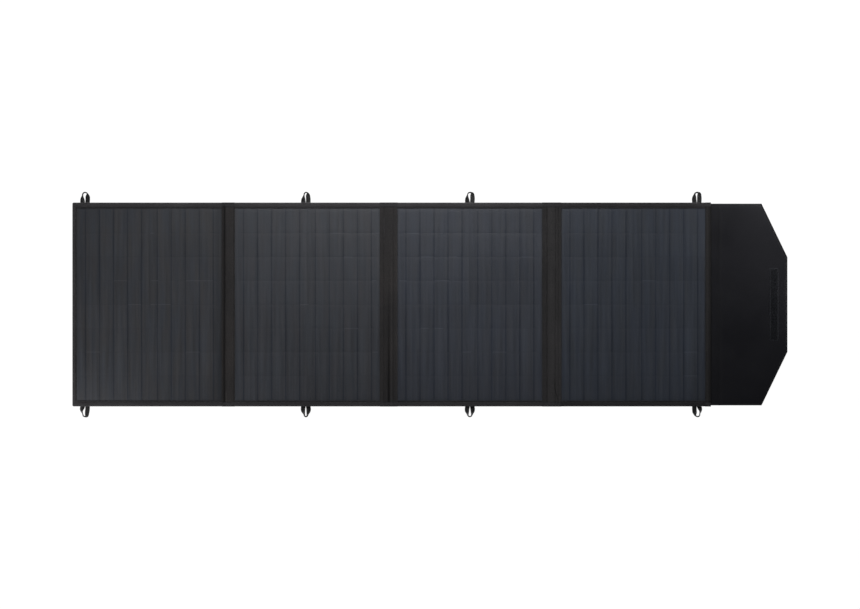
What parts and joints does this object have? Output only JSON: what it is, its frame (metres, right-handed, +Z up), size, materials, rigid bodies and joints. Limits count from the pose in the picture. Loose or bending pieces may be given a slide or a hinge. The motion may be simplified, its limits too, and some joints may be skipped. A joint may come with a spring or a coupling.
{
  "type": "folding solar phone charger",
  "caption": "Folding solar charger: fabric-framed panels on fabric hinges, hanging loops, a closing flap, and a rear pocket with a USB control box.",
  "frame": {"origin": "under the middle of the open charger, on the surface that it lies on", "axes": "+X along the row of panels towards the closing flap, +Y across the row towards the pocket's zip, +Z up, out of the solar faces"},
  "size_m": [1.6016, 0.5044, 0.028],
  "materials": {
    "cover_fabric": "woven polyester, matt",
    "bezel_fabric": "coated polyester, matt",
    "binding_tape": "folded twill tape",
    "front_film": "dimpled clear film over dark cells, satin",
    "silicon": "dark blue-black cells with printed busbars",
    "board": "fibreglass board with a bonded black back sheet",
    "webbing": "narrow nylon webbing, slight sheen",
    "hinge_fabric": "coated polyester, creased",
    "wire_sheath": "silicone sheathed wire",
    "flap_skin": "smooth coated fabric with a fine grain",
    "stiffener": "plastic board",
    "hook_and_loop": "hook and loop tape",
    "zip_tape": "zip tape with nylon coil",
    "zip_metal": "dark lacquered zinc",
    "box_plastic": "fine spark texture",
    "circuit": "solder mask",
    "port_metal": "plated steel",
    "port_plastic": "moulded",
    "light_lens": "clear tinted lens",
    "soft_rubber": "matt",
    "screw_steel": "black oxide"
  },
  "bodies": {
    "panel_1": {"panel_bezel_1": "bezel_fabric", "front_sheet_1": "front_film", "solar_cells_1": "silicon", "backing_board_1": "board", "back_cover_1": "cover_fabric", "edge_binding_1": "binding_tape", "hang_loops_1": "webbing", "loop_tape": "hook_and_loop", "hinge_web_1": "hinge_fabric", "link_wires_1": "wire_sheath"},
    "panel_2": {"panel_bezel_2": "bezel_fabric", "front_sheet_2": "front_film", "solar_cells_2": "silicon", "backing_board_2": "board", "back_cover_2": "cover_fabric", "edge_binding_2": "binding_tape", "hang_loops_2": "webbing", "hinge_web_2": "hinge_fabric", "link_wires_2": "wire_sheath"},
    "panel_3": {"panel_bezel_3": "bezel_fabric", "front_sheet_3": "front_film", "solar_cells_3": "silicon", "backing_board_3": "board", "back_cover_3": "cover_fabric", "edge_binding_3": "binding_tape", "hang_loops_3": "webbing", "hinge_web_3": "hinge_fabric", "link_wires_3": "wire_sheath"},
    "panel_4": {"panel_bezel_4": "bezel_fabric", "front_sheet_4": "front_film", "solar_cells_4": "silicon", "backing_board_4": "board", "back_cover_4": "cover_fabric", "edge_binding_4": "binding_tape", "hang_loops_4": "webbing", "flap_base": "flap_skin", "pocket_gusset": "cover_fabric", "zip_chain": "zip_tape", "box_base": "box_plastic", "box_cover": "box_plastic", "circuit_board": "circuit", "usb_a_sockets": "port_metal", "usb_c_socket": "port_metal", "dc_outlet": "port_plastic", "status_light": "light_lens", "box_screws": "screw_steel"},
    "spine": {"spine_web": "flap_skin", "spine_cover": "flap_skin", "spine_board": "stiffener", "carry_handle": "webbing", "handle_grip": "soft_rubber"},
    "flap": {"flap_web": "flap_skin", "flap_front_cover": "flap_skin", "flap_board": "stiffener", "flap_back_cover": "cover_fabric", "hook_tape": "hook_and_loop"},
    "pocket_lid": {"pocket_lid": "cover_fabric"},
    "zip_slider": {"zip_slider": "zip_metal"},
    "port_cover": {"port_cover": "soft_rubber"}
  },
  "joints": [
    {"name": "panel_3_fold", "type": "hinge", "parent": "panel_4", "child": "panel_3", "pos_m": [0.27275, 0, 0.0292], "axis": [0, 1, 0], "range_deg": [0, 179.9], "deforming": ["hinge_web_3", "link_wires_3"]},
    {"name": "panel_2_fold", "type": "hinge", "parent": "panel_3", "child": "panel_2", "pos_m": [-0.0925, 0, 0.0188], "axis": [0, -1, 0], "range_deg": [0, 179.9], "deforming": ["hinge_web_2", "link_wires_2"]},
    {"name": "panel_1_fold", "type": "hinge", "parent": "panel_2", "child": "panel_1", "pos_m": [-0.45125, 0, 0.0292], "axis": [0, 1, 0], "range_deg": [0, 179.9], "deforming": ["hinge_web_1", "link_wires_1"]},
    {"name": "spine_fold", "type": "hinge", "parent": "panel_4", "child": "spine", "pos_m": [0.64875, 0, 0.0275], "axis": [0, -1, 0], "range_deg": [0, 90], "deforming": ["spine_web"]},
    {"name": "flap_fold", "type": "hinge", "parent": "spine", "child": "flap", "pos_m": [0.68395, 0, 0.0275], "axis": [0, -1, 0], "range_deg": [0, 90], "deforming": ["flap_web"]},
    {"name": "pocket_lid_hinge", "type": "hinge", "parent": "panel_4", "child": "pocket_lid", "pos_m": [0.45625, -0.0874, 0.0003], "axis": [-1, 0, 0], "range_deg": [0, 110]},
    {"name": "zip_slide", "type": "slide", "parent": "panel_4", "child": "zip_slider", "axis": [1, 0, 0], "range_m": [0, 0.19]},
    {"name": "port_cover_hinge", "type": "hinge", "parent": "panel_4", "child": "port_cover", "pos_m": [0.45125, 0.0321, 0.016], "axis": [1, 0, 0], "range_deg": [0, 90]}
  ],
  "couplings": [
    {"joint": "panel_2_fold", "follows": "panel_3_fold", "ratio": 1}
  ]
}
